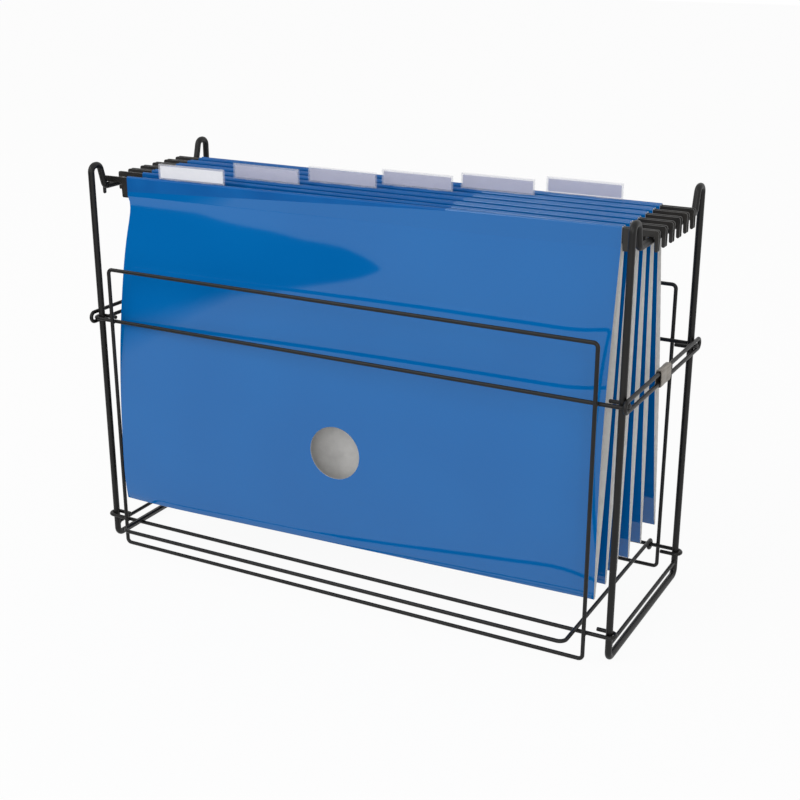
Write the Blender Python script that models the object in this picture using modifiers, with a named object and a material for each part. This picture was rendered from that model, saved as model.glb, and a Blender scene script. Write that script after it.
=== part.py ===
"""Desktop hanging-file rack: a bent-wire frame that carries a row of hanging folders.

Metres, +Z up, front towards -Y. The origin is on the floor under the middle of the whole object.
"""

import math

import bmesh
import bpy
from mathutils import Vector

# Frame
FRAME_WIDTH = 0.400  # between the axes of the left and right uprights
FRAME_DEPTH = 0.1372  # between the axes of the front and rear uprights
FRAME_TOP = 0.287  # axis height of the U-turns over the uprights
RAIL_HEIGHT = 0.271  # axis height of the rails that the folders hang on
TURN_RADIUS = 0.0046  # axis radius of the U-turn over an upright
RAIL_SETBACK = 0.0136  # from an upright's axis, along the depth, to the end of the rail
THICK_WIRE = 0.0048
THIN_WIRE = 0.0028
FLOOR_BEND = 0.005  # bend radius at the foot of an upright
RAIL_BEND = 0.0035

# Thin wires
MID_HEIGHT = 0.1765
BOTTOM_HEIGHT = 0.0195
HOOK_RADIUS = 0.0040  # axis radius of the hairpin round an upright
HOOK_TAIL = 0.010  # how far a hairpin's tail runs back from the upright's axis
PANEL_MARGIN = 0.015  # from an upright's axis in to the panel loop's vertical run
PANEL_TOP = 0.2156
PANEL_BEND = 0.003
SIDE_LOOP_HEIGHT = 0.0070
SIDE_BOTTOM_HEIGHT = 0.0117
CLIP_LENGTH = 0.020
CLIP_WALL = 0.0007
CLIP_BACK = -0.003
BASE_MARGIN = 0.0244  # from an upright's axis in to the base frame's side run, were it in the middle
BASE_SIDE = 0.0039  # how far the base frame has slid to the right on the rear bottom wire
BASE_REACH = 0.0274  # how far the base frame comes forward of the uprights
BASE_BEND = 0.005

# Folders
ROW_FRONT_ROOM = 0.0346  # from the front uprights back to the middle of the first folder's pair of hangers
ROW_REAR_ROOM = 0.0306  # from the rear uprights forward to the middle of the last folder's pair
# How far each folder's foot stands back from under its hangers, first folder first
LEANS = (-0.0170, -0.0106, -0.0042, 0.0060, 0.0170, 0.0330)
FOLDERS = len(LEANS)
CARD = 0.0005
CARD_DROP = 0.2445  # card height
CARD_FLAP = 0.014
CARD_FOOT = 0.0012  # half width of the folded bottom
CARD_CREASE = 0.0010
CARD_BOW = 0.0024  # how far each leaf bows out between its sleeve and the fold
MOUTH = 0.0006  # gap between the two sleeves of one folder
HOLE = 0.038
HOLE_HEIGHT = 0.0705  # of the hole's centre above the folder's bottom
HOLE_SIDE = -0.0049
HOLE_PUNCH = 0.0064  # how far the hole is punched through, enough for a leaf that leans
SKEW_TOP = 0.0145  # how far the first folder's front leaf stands forward at its left end
SKEW_FOOT = 0.0248
SKEW_BELLY = 0.0100  # how far that leaf bellies forward at its right end
SKEW_BULGE = 0.0044  # and at its left end
SKEW_RISE = 0.0035  # how much higher the first folder's foot hangs at its left end
SKEW_SAG = 0.0020  # and how much lower at its right end

# Hangers
BAR = 0.0012
BAR_HEIGHT = 0.0098
BAR_RISE = 0.0040  # top of the bar above the roof of the hook
LEG_DROP = 0.0105
TIP_DROP = 0.0092
LEG_WIDTH = 0.0052
TIP_WIDTH = 0.0022
NOTCH = 0.0144  # width of the hook's opening
HOOK_PLAY = 0.0006  # between the rail and the tip of the hook outside it
HEAD_CHAMFER = 0.0015
CARD_END = 0.0008  # from the hook's leg to the end of the card

# Tabs
TAB_WIDTH = 0.054
TAB_HEIGHT = 0.0108
# Where each tab stands across its card, as a share of the card's width from its middle
TAB_SHARES = (-0.3530, -0.2306, -0.0854, 0.0534, 0.1999, 0.3552)
TAB_WALL = 0.0004
TAB_POCKET = 0.0009
TONGUE = 0.009
TONGUE_DEPTH = 0.0036
TONGUE_SPACING = 0.026
LABEL = 0.0003
LABEL_MARGIN = 0.0012

FIT = 0.0003  # gap between pieces that touch
FACETS = 8  # round wire is drawn with this many flats
BEND_STEPS = 5

FLAT = math.cos(math.pi / FACETS)
THICK = THICK_WIRE / 2
THIN = THIN_WIRE / 2
SIDE_X = FRAME_WIDTH / 2
POST_Y = FRAME_DEPTH / 2
FLOOR_AXIS = THICK * FLAT
ROW_FRONT = round(ROW_FRONT_ROOM - POST_Y, 6)  # to the micrometre
ROW_REAR = round(POST_Y - ROW_REAR_ROOM, 6)
CROSS_Y = POST_Y + HOOK_RADIUS
WIRE_STEP = 2 * THIN * FLAT + FIT  # between the axes of two thin wires that touch
PANEL_Y = CROSS_Y + WIRE_STEP
WRAP_RADIUS = (THIN * FLAT + FIT / 2 + THIN) / math.cos(math.pi / 16)
BASE_FRONT = -POST_Y - BASE_REACH
SIDE_LOOP_X = SIDE_X + HOOK_RADIUS
SIDE_LOOP_LOW = MID_HEIGHT - WIRE_STEP
SIDE_LOOP_TOP = SIDE_LOOP_LOW + SIDE_LOOP_HEIGHT
SIDE_LOOP_END = CROSS_Y + THIN + THIN + FIT

HOOK_ROOF = RAIL_HEIGHT + THICK * FLAT + FIT
BAR_TOP = HOOK_ROOF + BAR_RISE
SHEET = CARD / 2
SLEEVE = BAR / 2 + FIT + SHEET  # half width of a sleeve at the middle of its card
CROWN = BAR_TOP - BAR / 3  # height of the centre of a sleeve's rounded top
FOLDER_TOP = CROWN + SLEEVE + SHEET
FOLDER_FOOT = FOLDER_TOP - CARD_DROP + SHEET
LEAF_TOP = FOLDER_TOP - CARD_FLAP
LEAF_FOOT = FOLDER_FOOT + CARD_CREASE
SPREAD = SLEEVE + SHEET + MOUTH / 2  # a sleeve's centre from the middle of the pair
NOTCH_OUT = SIDE_X + THICK + HOOK_PLAY
NOTCH_IN = NOTCH_OUT - NOTCH
LEG_IN = NOTCH_IN - LEG_WIDTH
CARD_HALF = LEG_IN - CARD_END
TAB_FOOT = FOLDER_TOP + FIT
TAB_ROOF = TAB_FOOT + TAB_HEIGHT
TONGUE_FOOT = BAR_TOP - TONGUE_DEPTH + FIT
SKEW_ANGLE = math.atan2(SKEW_TOP, 2 * CARD_HALF)
DEPTH_FRONT = -BASE_FRONT + THIN * FLAT
DEPTH_REAR = max(PANEL_Y, SIDE_LOOP_END) + THIN * FLAT


def clear_scene():
    for old in list(bpy.data.objects):
        bpy.data.objects.remove(old, do_unlink=True)


def new_collection(name, helper=False):
    made = bpy.data.collections.new(name)
    made.hide_render = helper
    bpy.context.scene.collection.children.link(made)
    return made


def new_material(name, colour, roughness, metallic=0.0):
    made = bpy.data.materials.new(name)
    made.use_nodes = True
    shader = made.node_tree.nodes["Principled BSDF"]
    shader.inputs["Base Color"].default_value = (*colour, 1.0)
    shader.inputs["Roughness"].default_value = roughness
    shader.inputs["Metallic"].default_value = metallic
    return made


def place(name, data, look, parent, location=(0.0, 0.0, 0.0), rotation=(0.0, 0.0, 0.0)):
    """An object in the rack's collection, set on its parent."""
    made = bpy.data.objects.new(name, data)
    RACK.objects.link(made)
    if look is not None:
        data.materials.append(look)
    made.parent = parent
    made.location = location
    made.rotation_euler = rotation
    return made


def cutter(name, mesh, parent, location):
    made = bpy.data.objects.new(name, mesh)
    CUTTERS.objects.link(made)
    made.hide_render = True
    made.display_type = "WIRE"
    made.parent = parent
    made.location = location
    return made


def cut(target, tool):
    step = target.modifiers.new("cut " + tool.name, "BOOLEAN")
    step.operation = "DIFFERENCE"
    step.solver = "EXACT"
    step.object = tool


def box_mesh(name, size):
    """A box of this size about the origin."""
    bm = bmesh.new()
    bmesh.ops.create_cube(bm, size=1.0)
    bmesh.ops.scale(bm, vec=Vector(size), verts=bm.verts)
    mesh = bpy.data.meshes.new(name)
    bm.to_mesh(mesh)
    bm.free()
    return mesh


def rounded(corners, radius, closed):
    """A line through the corners, with each bend an arc of its radius. A corner in line with its neighbours stays."""
    radii = radius if isinstance(radius, list) else [radius] * len(corners)
    path = []
    for place_in_line, corner in enumerate(corners):
        corner = Vector(corner)
        back = Vector(corners[place_in_line - 1]) - corner
        ahead = Vector(corners[(place_in_line + 1) % len(corners)]) - corner
        end = not closed and place_in_line in (0, len(corners) - 1)
        half = back.angle(ahead) / 2
        if end or half > 1.5:
            path.append(corner)
            continue
        back.normalize()
        ahead.normalize()
        bend = radii[place_in_line]
        centre = corner + (back + ahead).normalized() * (bend / math.sin(half))
        first = corner + back * (bend / math.tan(half)) - centre
        last = corner + ahead * (bend / math.tan(half)) - centre
        sweep = first.angle(last)
        for k in range(BEND_STEPS + 1):
            part = sweep * k / BEND_STEPS
            along = first * math.sin(sweep - part) + last * math.sin(part)
            path.append(centre + along / math.sin(sweep))
    kept = [path[0]]
    for point in path[1:]:
        if (point - kept[-1]).length > 1e-6:
            kept.append(point)
    return kept


def wire(name, path, radius, look, parent, closed=False, location=(0.0, 0.0, 0.0)):
    """Round wire bent along a path, with a flat facing each axis of the frame."""
    curve = bpy.data.curves.new(name, "CURVE")
    curve.dimensions = "3D"
    curve.bevel_depth = radius
    curve.bevel_resolution = FACETS // 2 - 2
    curve.use_fill_caps = True
    spline = curve.splines.new("POLY")
    spline.points.add(len(path) - 1)
    for knot, point in zip(spline.points, path):
        knot.co = (*point, 1.0)
        knot.tilt = math.pi / FACETS
    spline.use_cyclic_u = closed
    return place(name, curve, look, parent, location)


def outline(name, loops, thickness, look, parent, location, rotation):
    """A flat piece: closed outlines, filled, with half of the thickness on either side."""
    curve = bpy.data.curves.new(name, "CURVE")
    curve.dimensions = "2D"
    curve.fill_mode = "BOTH"
    curve.extrude = thickness / 2
    for loop in loops:
        spline = curve.splines.new("POLY")
        spline.points.add(len(loop) - 1)
        for knot, (across, up) in zip(spline.points, loop):
            knot.co = (across, up, 0.0, 1.0)
        spline.use_cyclic_u = True
    return place(name, curve, look, parent, location, rotation)


def side_frame(name, side):
    """One closed loop of thick wire in an upright plane: floor run, uprights, a U-turn over each, and the rail."""
    x = side * SIDE_X
    leg_y = POST_Y - 2 * TURN_RADIUS
    rail_y = POST_Y - RAIL_SETBACK
    corners = [
        (x, 0.0, FLOOR_AXIS),
        (x, POST_Y, FLOOR_AXIS),
        (x, POST_Y, FRAME_TOP),
        (x, leg_y, FRAME_TOP),
        (x, rail_y, RAIL_HEIGHT),
        (x, -rail_y, RAIL_HEIGHT),
        (x, -leg_y, FRAME_TOP),
        (x, -POST_Y, FRAME_TOP),
        (x, -POST_Y, FLOOR_AXIS),
    ]
    turn = TURN_RADIUS
    bends = [0.0, FLOOR_BEND, turn, turn, RAIL_BEND, RAIL_BEND, turn, turn, FLOOR_BEND]
    wire(name, rounded(corners, bends, True), THICK, BLACK_WIRE, ROOT, closed=True)


def cross_wire(name, face, height):
    """A thin wire across the uprights, each end a hairpin round the outside of one of them."""
    outer = face * CROSS_Y
    inner = face * (POST_Y - HOOK_RADIUS)
    tail = SIDE_X - HOOK_TAIL
    end = SIDE_X + HOOK_RADIUS
    corners = [
        (-tail, inner, height),
        (-end, inner, height),
        (-end, outer, height),
        (end, outer, height),
        (end, inner, height),
        (tail, inner, height),
    ]
    wire(name, rounded(corners, HOOK_RADIUS, False), THIN, BLACK_WIRE, ROOT)


def panel_loop(name, face):
    """A closed rectangle of thin wire that stands on the floor outside the cross wires."""
    half = SIDE_X - PANEL_MARGIN
    y = face * PANEL_Y
    low = THIN * FLAT
    corners = [(0.0, y, low), (half, y, low), (half, y, PANEL_TOP), (-half, y, PANEL_TOP), (-half, y, low)]
    wire(name, rounded(corners, PANEL_BEND, True), THIN, BLACK_WIRE, ROOT, closed=True)


def side_mid_loop(name, side):
    """A narrow upright loop of thin wire. The hairpins of the mid wires come through it and sit on its lower run."""
    x = side * SIDE_LOOP_X
    end = SIDE_LOOP_END
    corners = [
        (x, 0.0, SIDE_LOOP_LOW),
        (x, end, SIDE_LOOP_LOW),
        (x, end, SIDE_LOOP_TOP),
        (x, -end, SIDE_LOOP_TOP),
        (x, -end, SIDE_LOOP_LOW),
    ]
    wire(name, rounded(corners, SIDE_LOOP_HEIGHT / 2, True), THIN, BLACK_WIRE, ROOT, closed=True)


def side_clip(name, side):
    """A sheet sleeve pressed round both runs of a side loop."""

    def ring(half_x, half_z, bend):
        corners = [(half_x, -half_z, 0.0), (half_x, half_z, 0.0), (-half_x, half_z, 0.0), (-half_x, -half_z, 0.0)]
        return [(point.x, point.y) for point in rounded(corners, bend, True)]

    thin_way = THIN * FLAT + FIT
    tall_way = SIDE_LOOP_HEIGHT / 2 + thin_way
    inner = ring(thin_way, tall_way, CLIP_WALL)
    outer = ring(thin_way + CLIP_WALL, tall_way + CLIP_WALL, 2 * CLIP_WALL)
    middle = (SIDE_LOOP_LOW + SIDE_LOOP_TOP) / 2
    at = (side * SIDE_LOOP_X, CLIP_BACK, middle)
    outline(name, [outer, inner], CLIP_LENGTH, ZINC, ROOT, at, (math.pi / 2, 0.0, 0.0))


def side_bottom_wire(name, side):
    """A straight thin wire that butts between the two uprights of one side."""
    end = POST_Y - THICK * FLAT - FIT
    x = side * SIDE_X
    path = [Vector((x, -end, SIDE_BOTTOM_HEIGHT)), Vector((x, end, SIDE_BOTTOM_HEIGHT))]
    wire(name, path, THIN, BLACK_WIRE, ROOT)


def base_frame(name):
    """A thin wire U whose two rear ends are wrapped round the rear bottom wire. Its origin is on that wire's axis."""
    half = SIDE_X - BASE_MARGIN
    front = BASE_FRONT - CROSS_Y
    steps = 3 * BEND_STEPS
    eye = [(WRAP_RADIUS * math.cos(a), WRAP_RADIUS * math.sin(a)) for a in eye_angles(steps)]
    left = [Vector((-half, y, z)) for y, z in eye]
    right = [Vector((half, y, z)) for y, z in reversed(eye)]
    corners = [
        (-half, 0.0, WRAP_RADIUS),
        (-half, front, WRAP_RADIUS),
        (half, front, WRAP_RADIUS),
        (half, 0.0, WRAP_RADIUS),
    ]
    path = left + rounded(corners, BASE_BEND, False) + right
    wire(name, path, THIN, BLACK_WIRE, ROOT, location=(BASE_SIDE, CROSS_Y, BOTTOM_HEIGHT))


def eye_angles(steps):
    """Three quarters of a turn, from the front of the rear wire under and behind it to just short of its top."""
    return [math.pi + 1.5 * math.pi * k / steps for k in range(steps)]


def row_place(index):
    return ROW_FRONT + (ROW_REAR - ROW_FRONT) * index / (FOLDERS - 1)


def leaf_line(depth, lean, bow):
    """Distance of a leaf from the middle of its pair, for a depth of 0 under the sleeve to 1 at the foot."""
    top = SPREAD + SLEEVE
    return top + depth * (CARD_FOOT - top) + bow * math.sin(math.pi * depth)


def card_depth(height):
    return min(1.0, max(0.0, (LEAF_TOP - height) / (LEAF_TOP - LEAF_FOOT)))


def lean_rise(lean):
    """How much higher the foot of a leaning card hangs, because the card keeps its length."""
    return lean * lean / (2 * CARD_DROP)


def half_profile(lean, bow):
    """Middle surface of half a card, from the end of its flap over the sleeve and down the leaf: (out, height)."""
    points = [(SPREAD - SLEEVE, LEAF_TOP), (SPREAD - SLEEVE, CROWN)]
    for k in range(1, 6):
        angle = math.pi * k / 6
        points.append((SPREAD - SLEEVE * math.cos(angle), CROWN + SLEEVE * math.sin(angle)))
    points.append((SPREAD + SLEEVE, CROWN))
    for k in range(9):
        depth = k / 8
        height = LEAF_TOP + depth * (LEAF_FOOT - LEAF_TOP)
        points.append((leaf_line(depth, lean, bow), height))
    for k in range(1, 4):
        angle = math.pi / 2 * k / 3
        out = CARD_FOOT - CARD_CREASE * (1 - math.cos(angle))
        points.append((out, LEAF_FOOT - CARD_CREASE * math.sin(angle)))
    return points


def left_share(x):
    """0 at the card's right end to 1 at its left end."""
    return (CARD_HALF - x) / (2 * CARD_HALF)


def skew_shift(x, height):
    """How far forward the first folder's front leaf stands: its belly, and more towards the left end of its foot."""
    depth = card_depth(height)
    share = left_share(x)
    belly = SKEW_BELLY + (SKEW_BULGE - SKEW_BELLY) * share
    straight = SKEW_TOP + (SKEW_FOOT - SKEW_TOP) * depth
    return belly * math.sin(math.pi * depth) + share * straight


def card_mesh(name, lean, skewed):
    """The card: its folded line drawn once at the left edge and swept across to the right one."""
    bm = bmesh.new()
    half = half_profile(lean, CARD_BOW)
    line = [(-out, height) for out, height in half]
    line += [(out, height) for out, height in reversed(half)]
    knots = []
    for out, height in line:
        knots.append(bm.verts.new((-CARD_HALF, out, height)))
    edges = [bm.edges.new(pair) for pair in zip(knots, knots[1:])]
    columns = 6 if skewed else 1
    for _ in range(columns):
        swept = bmesh.ops.extrude_edge_only(bm, edges=edges)["geom"]
        moved = [item for item in swept if isinstance(item, bmesh.types.BMVert)]
        edges = [item for item in swept if isinstance(item, bmesh.types.BMEdge)]
        bmesh.ops.translate(bm, vec=Vector((2 * CARD_HALF / columns, 0.0, 0.0)), verts=moved)
    for vert in bm.verts:
        x, out, height = vert.co
        shift = lean * card_depth(height)
        rise = lean_rise(lean)
        if skewed:
            rise += SKEW_RISE * left_share(x) - SKEW_SAG * (1 - left_share(x))
        if skewed and out < 0.0:
            shift -= skew_shift(x, height)
        vert.co.z += rise * card_depth(height)
        vert.co.y = out + shift
    bmesh.ops.recalc_face_normals(bm, faces=bm.faces)
    mesh = bpy.data.meshes.new(name)
    bm.to_mesh(mesh)
    bm.free()
    return mesh


def folder_card(name, empty, front, lean, skewed, tab_x):
    made = place(name, card_mesh(name, lean, skewed), CARD_BLUE, empty)
    sheet = made.modifiers.new("card", "SOLIDIFY")
    sheet.thickness = CARD
    sheet.offset = 0.0
    sheet.use_even_offset = True
    height = FOLDER_FOOT + HOLE_HEIGHT
    out = -leaf_line(card_depth(height), lean, CARD_BOW) + lean * card_depth(height)
    if skewed:
        out -= skew_shift(HOLE_SIDE, height)
    bm = bmesh.new()
    bmesh.ops.create_cone(bm, cap_ends=True, segments=28, radius1=HOLE / 2, radius2=HOLE / 2, depth=HOLE_PUNCH)
    mesh = bpy.data.meshes.new(name + "_hole")
    bm.to_mesh(mesh)
    bm.free()
    hole = cutter(name + "_hole", mesh, empty, (HOLE_SIDE, out, height))
    hole.rotation_euler = (math.pi / 2, 0.0, 0.0)
    cut(made, hole)
    for side in (-1, 1):
        size = (TONGUE + 2 * FIT, TAB_WALL + 2 * FIT, 2 * SLEEVE)
        at = (tab_x + side * TONGUE_SPACING / 2, 0.0, CROWN + SLEEVE + SLEEVE / 4)
        slot = cutter(f"{name}_slot_{side}", box_mesh(name + "_slot", size), front, at)
        cut(made, slot)


def hanger(name, empty, notches):
    """A flat bar with a hook at each end. The front one is notched for the tab's tongues."""
    roof = HOOK_ROOF
    tip = NOTCH_OUT + TIP_WIDTH
    right = [
        (LEG_IN, BAR_TOP - BAR_HEIGHT),
        (LEG_IN, roof - LEG_DROP),
        (NOTCH_IN, roof - LEG_DROP),
        (NOTCH_IN, roof),
        (NOTCH_OUT, roof),
        (NOTCH_OUT, roof - TIP_DROP),
        (tip, roof - TIP_DROP),
        (tip, BAR_TOP - HEAD_CHAMFER),
        (tip - HEAD_CHAMFER, BAR_TOP),
    ]
    top = []
    for x in sorted(notches, reverse=True):
        reach = TONGUE / 2 + FIT
        top += [(x + reach, BAR_TOP), (x + reach, BAR_TOP - TONGUE_DEPTH)]
        top += [(x - reach, BAR_TOP - TONGUE_DEPTH), (x - reach, BAR_TOP)]
    left = [(-x, z) for x, z in reversed(right)]
    outline(name, [right + top + left], BAR, HANGER_BLACK, empty, (0.0, 0.0, 0.0), (math.pi / 2, 0.0, 0.0))


def tab(name, empty, x):
    """A strip of clear plastic folded over into a pocket, with two tongues down through the card."""
    bm = bmesh.new()
    turn = (TAB_POCKET + TAB_WALL) / 2
    bend_z = TAB_ROOF - TAB_WALL / 2 - turn
    line = [(0.0, TAB_FOOT), (0.0, bend_z)]
    for k in range(1, 5):
        angle = math.pi * k / 5
        line.append((turn - turn * math.cos(angle), bend_z + turn * math.sin(angle)))
    line += [(2 * turn, bend_z), (2 * turn, TAB_FOOT)]
    inner = TONGUE_SPACING / 2 - TONGUE / 2
    outer = TONGUE_SPACING / 2 + TONGUE / 2
    stops = [-TAB_WIDTH / 2, -outer, -inner, inner, outer, TAB_WIDTH / 2]
    knots = [bm.verts.new((stops[0], y, z)) for y, z in line]
    edges = [bm.edges.new(pair) for pair in zip(knots, knots[1:])]
    for near, far in zip(stops, stops[1:]):
        swept = bmesh.ops.extrude_edge_only(bm, edges=edges)["geom"]
        moved = [item for item in swept if isinstance(item, bmesh.types.BMVert)]
        edges = [item for item in swept if isinstance(item, bmesh.types.BMEdge)]
        bmesh.ops.translate(bm, vec=Vector((far - near, 0.0, 0.0)), verts=moved)
    for side in (-1, 1):
        foot = [edge for edge in bm.edges if is_tongue_root(edge, side)]
        swept = bmesh.ops.extrude_edge_only(bm, edges=foot)["geom"]
        moved = [item for item in swept if isinstance(item, bmesh.types.BMVert)]
        bmesh.ops.translate(bm, vec=Vector((0.0, 0.0, TONGUE_FOOT - TAB_FOOT)), verts=moved)
    bmesh.ops.recalc_face_normals(bm, faces=bm.faces)
    mesh = bpy.data.meshes.new(name)
    bm.to_mesh(mesh)
    bm.free()
    made = place(name, mesh, TAB_PLASTIC, empty, (x, 0.0, 0.0))
    sheet = made.modifiers.new("wall", "SOLIDIFY")
    sheet.thickness = TAB_WALL
    sheet.offset = 0.0
    sheet.use_even_offset = True


def is_tongue_root(edge, side):
    """Whether an edge is the foot of a tab's front wall over one of its tongues."""
    middle = (edge.verts[0].co + edge.verts[1].co) / 2
    at_foot = abs(middle.z - TAB_FOOT) < 1e-6 and abs(middle.y) < 1e-6
    return at_foot and abs(middle.x - side * TONGUE_SPACING / 2) < 1e-6


def label(name, empty, x):
    size = (TAB_WIDTH - 2 * LABEL_MARGIN, LABEL, TAB_HEIGHT - 2 * LABEL_MARGIN)
    at = (x, (TAB_POCKET + TAB_WALL) / 2, TAB_FOOT + TAB_HEIGHT / 2 - LABEL_MARGIN / 4)
    place(name, box_mesh(name, size), PAPER, empty, at)


def folder(index):
    """One hanging folder on its own empty. The first one's front hanger stands askew."""
    name = f"folder_{index + 1}"
    skewed = index == 0
    empty = place(name, None, None, ROOT, (0.0, row_place(index), 0.0))
    turn = SKEW_ANGLE if skewed else 0.0
    pivot = CARD_HALF if skewed else 0.0
    hinge = place(name + "_front_end", None, None, empty, (pivot, -SPREAD, 0.0), (0.0, 0.0, turn))
    front = place(name + "_front", None, None, hinge, (-pivot, 0.0, 0.0))
    rear = place(name + "_rear", None, None, empty, (0.0, SPREAD, 0.0))
    tab_x = TAB_SHARES[index] * 2 * CARD_HALF
    tongues = [tab_x - TONGUE_SPACING / 2, tab_x + TONGUE_SPACING / 2]
    folder_card(name + "_card", empty, front, LEANS[index], skewed, tab_x)
    hanger(name + "_front_hanger", front, tongues)
    hanger(name + "_rear_hanger", rear, [])
    tab(name + "_tab", front, tab_x)
    label(name + "_label", front, tab_x)


clear_scene()
RACK = new_collection("desktop_hanging_file_rack")
CUTTERS = new_collection("cutters", helper=True)
BLACK_WIRE = new_material("black_coated_wire", (0.012, 0.012, 0.013), 0.38)
ZINC = new_material("zinc_clip", (0.33, 0.32, 0.29), 0.45, 0.8)
CARD_BLUE = new_material("blue_card", (0.006, 0.105, 0.34), 0.5)
HANGER_BLACK = new_material("black_hanger", (0.022, 0.022, 0.024), 0.45)
TAB_PLASTIC = new_material("clear_tab", (0.78, 0.79, 0.84), 0.2)
PAPER = new_material("white_label", (0.86, 0.86, 0.86), 0.8)

ROOT = place("rack", None, None, None, (0.0, (DEPTH_FRONT - DEPTH_REAR) / 2, 0.0))
for hand, sign in (("left", -1), ("right", 1)):
    side_frame(f"side_frame_{hand}", sign)
    side_mid_loop(f"side_mid_loop_{hand}", sign)
    side_clip(f"side_clip_{hand}", sign)
    side_bottom_wire(f"side_bottom_wire_{hand}", sign)
for place_name, sign in (("front", -1), ("rear", 1)):
    panel_loop(f"{place_name}_loop", sign)
    cross_wire(f"{place_name}_mid_wire", sign, MID_HEIGHT)
    cross_wire(f"{place_name}_bottom_wire", sign, BOTTOM_HEIGHT)
base_frame("base_frame")
for number in range(FOLDERS):
    folder(number)
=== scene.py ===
# %% [markdown]
# # A wire rack with hanging folders
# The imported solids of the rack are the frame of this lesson. Every piece below is drawn again with finer
# surfaces, takes the place of its solid and moves with the same body, so the rack can be lifted apart.
# All sizes are in millimetres until a mesh is made, because a maker thinks of wire and card that way.

import bpy
import numpy as np
from mathutils import Matrix


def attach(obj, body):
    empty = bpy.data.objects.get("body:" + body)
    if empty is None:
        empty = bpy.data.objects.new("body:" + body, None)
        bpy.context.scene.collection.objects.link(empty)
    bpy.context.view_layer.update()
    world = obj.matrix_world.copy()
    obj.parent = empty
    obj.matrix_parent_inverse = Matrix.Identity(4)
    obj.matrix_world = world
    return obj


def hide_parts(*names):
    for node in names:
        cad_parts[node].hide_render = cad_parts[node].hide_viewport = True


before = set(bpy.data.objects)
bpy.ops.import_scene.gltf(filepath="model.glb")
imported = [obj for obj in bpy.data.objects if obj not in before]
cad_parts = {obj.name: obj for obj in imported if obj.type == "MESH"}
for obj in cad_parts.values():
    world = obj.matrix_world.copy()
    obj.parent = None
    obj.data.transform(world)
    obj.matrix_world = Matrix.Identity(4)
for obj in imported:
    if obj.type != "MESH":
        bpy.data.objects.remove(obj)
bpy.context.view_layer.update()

# %% [markdown]
# ## Camera
# The photograph was taken from the right and a little above. The camera's place and lens were worked out
# from the straight wires, so a point of the model falls on its own pixel. The lens is a mild telephoto.

# %% Camera
MM = 0.001
SHIFT = 10.15  # the frame's uprights stand this far behind the middle of the overall box
CAMERA_AT = np.array([452.6, -823.8 + SHIFT, 463.6])
CAMERA_WAY = np.array([-0.4446, 0.8288, -0.3397])
CAMERA_RIGHT = np.array([0.8812, 0.4727, 0.0])


def put_in_scene(name, data):
    """Makes an object of a mesh, a lamp or a camera and links it into the scene."""
    made = bpy.data.objects.new(name, data)
    bpy.context.scene.collection.objects.link(made)
    return made


def standing(right, up, back, at):
    """The matrix of a thing at a place in metres whose own x, y and z axes point right, up and back."""
    matrix = np.eye(4)
    matrix[:3] = np.stack([right, up, back, at], 1)
    return Matrix(matrix.tolist())


camera_data = bpy.data.cameras.new("photo_camera")
camera_data.sensor_width = 36.0
camera_data.lens = 62.29
camera_data.clip_start = 0.02
camera = put_in_scene("photo_camera", camera_data)
camera_up = np.cross(CAMERA_RIGHT, CAMERA_WAY)
camera.matrix_world = standing(CAMERA_RIGHT, camera_up, -CAMERA_WAY, CAMERA_AT * MM)
bpy.context.scene.camera = camera
print("camera stands", round(float(np.linalg.norm(CAMERA_AT)), 1), "mm from the rack's foot")

# %% [markdown]
# ## Materials
# Each finish starts from the real stuff. Colours are written as the hex values a painter would pick on a
# screen, and one function turns them into the linear light that Blender mixes. Each small function after it
# adds one node, so that a finish reads as its patterns and what they drive.

# %% Colour and node helpers


def linear(hex_colour):
    """sRGB hex to linear light.

    A channel c becomes c / 12.92 when it is small, else ((c + 0.055) / 1.055) to the power 2.4.
    """
    c = np.array([int(hex_colour[k : k + 2], 16) for k in (1, 3, 5)]) / 255
    light = np.where(c <= 0.04045, c / 12.92, ((c + 0.055) / 1.055) ** 2.4)
    return (*light.tolist(), 1.0)


def feed(tree, node, links):
    """Gives each named socket of a node a plain value, or a link from another node's output."""
    for name, value in links.items():
        if isinstance(value, bpy.types.NodeSocket):
            tree.links.new(value, node.inputs[name])
        else:
            node.inputs[name].default_value = value


def add(tree, kind, links, **settings):
    """Adds one node with its settings and links."""
    made = tree.nodes.new(kind)
    for name, value in settings.items():
        setattr(made, name, value)
    feed(tree, made, links)
    return made


def own_place(tree):
    """Where a point is on its own object, in metres."""
    return add(tree, "ShaderNodeTexCoord", {}).outputs["Object"]


def per_mm(size):
    """Texture scale whose features are about this many millimetres across, on coordinates in metres."""
    return 1.0 / (size * MM)


def noise(tree, place, size, detail):
    """A cloudy pattern from 0 to 1, with features of a size in millimetres."""
    links = {"Vector": place, "Scale": per_mm(size), "Detail": detail}
    return add(tree, "ShaderNodeTexNoise", links).outputs["Fac"]


def tones(tree, pattern, *stops):
    """A colour that follows a pattern between two stops, each a position and a hex."""
    made = add(tree, "ShaderNodeValToRGB", {"Fac": pattern})
    for k, (position, hex_colour) in enumerate(stops):
        made.color_ramp.elements[k].position = position
        made.color_ramp.elements[k].color = linear(hex_colour)
    return made.outputs["Color"]


def between(tree, pattern, low, high):
    """A number that follows a pattern from low to high."""
    links = {"Value": pattern, "To Min": low, "To Max": high}
    return add(tree, "ShaderNodeMapRange", links).outputs["Result"]


def relief(tree, pattern, strength, depth):
    """A bump that follows a pattern, with a depth in millimetres."""
    links = {"Height": pattern, "Strength": strength, "Distance": depth * MM}
    return add(tree, "ShaderNodeBump", links).outputs["Normal"]


def new_finish(name):
    """A material with only a Principled shader and an output. Returns it, its tree and the shader."""
    made = bpy.data.materials.new(name)
    made.use_nodes = True
    print("finish:", name)
    return made, made.node_tree, made.node_tree.nodes["Principled BSDF"]


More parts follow.
